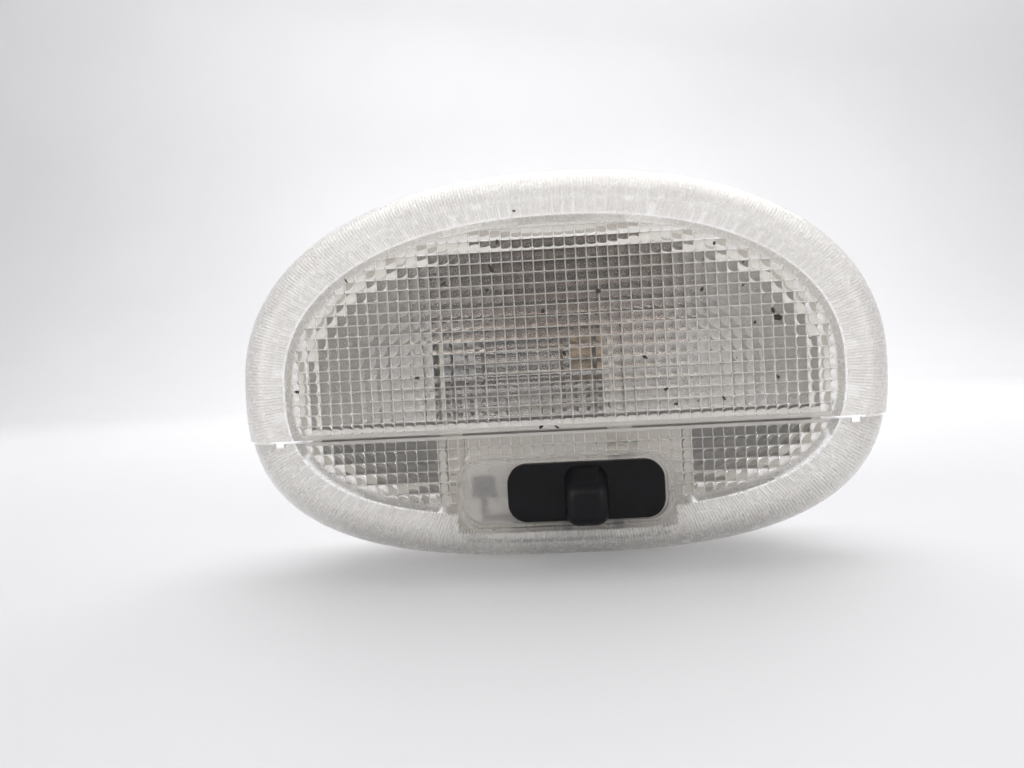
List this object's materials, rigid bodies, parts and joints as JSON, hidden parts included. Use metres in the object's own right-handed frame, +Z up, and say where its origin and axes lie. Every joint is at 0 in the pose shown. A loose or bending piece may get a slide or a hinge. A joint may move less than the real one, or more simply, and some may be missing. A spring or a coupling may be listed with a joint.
{
  "type": "car interior light",
  "caption": "Oval car roof light: clear ribbed lens in an upper and a lower part, lenslet grid, festoon bulb, metal reflector, and a black slide switch in a recess.",
  "frame": {"origin": "on the face's widest line, at mid width, in the plane of the rim that seats on the roof lining", "axes": "+X along the face to the right as the picture shows it, +Y from the face into the roof, +Z up the face away from the switch"},
  "size_m": [0.13, 0.0353, 0.0776],
  "materials": {
    "clear_plastic": "clear moulded plastic, glossy",
    "white_plastic": "moulded, satin",
    "reflector_metal": "pressed sheet, dull",
    "steel": "spring steel",
    "bulb_glass": "clear",
    "bulb_cap": "tarnished",
    "tungsten": "drawn wire",
    "black_plastic": "moulded, satin",
    "brass": "stamped strip"
  },
  "bodies": {
    "lamp": {"upper_lens": "clear_plastic", "lower_lens": "clear_plastic", "housing": "white_plastic", "reflector": "reflector_metal", "reflector_rivets": "steel", "bulb_glass": "bulb_glass", "bulb_cap_left": "bulb_cap", "bulb_cap_right": "bulb_cap", "bulb_filament": "tungsten", "bulb_lead_wires": "steel", "common_strip": "brass", "supply_strip": "brass", "earth_strip": "brass", "door_strip": "brass", "contact_rivets": "brass", "connector_shroud": "black_plastic", "retaining_spring": "steel", "spring_rivet": "steel"},
    "slider": {"switch_slider": "black_plastic", "slider_contact": "brass"}
  },
  "joints": [
    {"name": "switch_slide", "type": "slide", "parent": "lamp", "child": "slider", "axis": [1, 0, 0], "range_m": [-0.008, 0]}
  ]
}
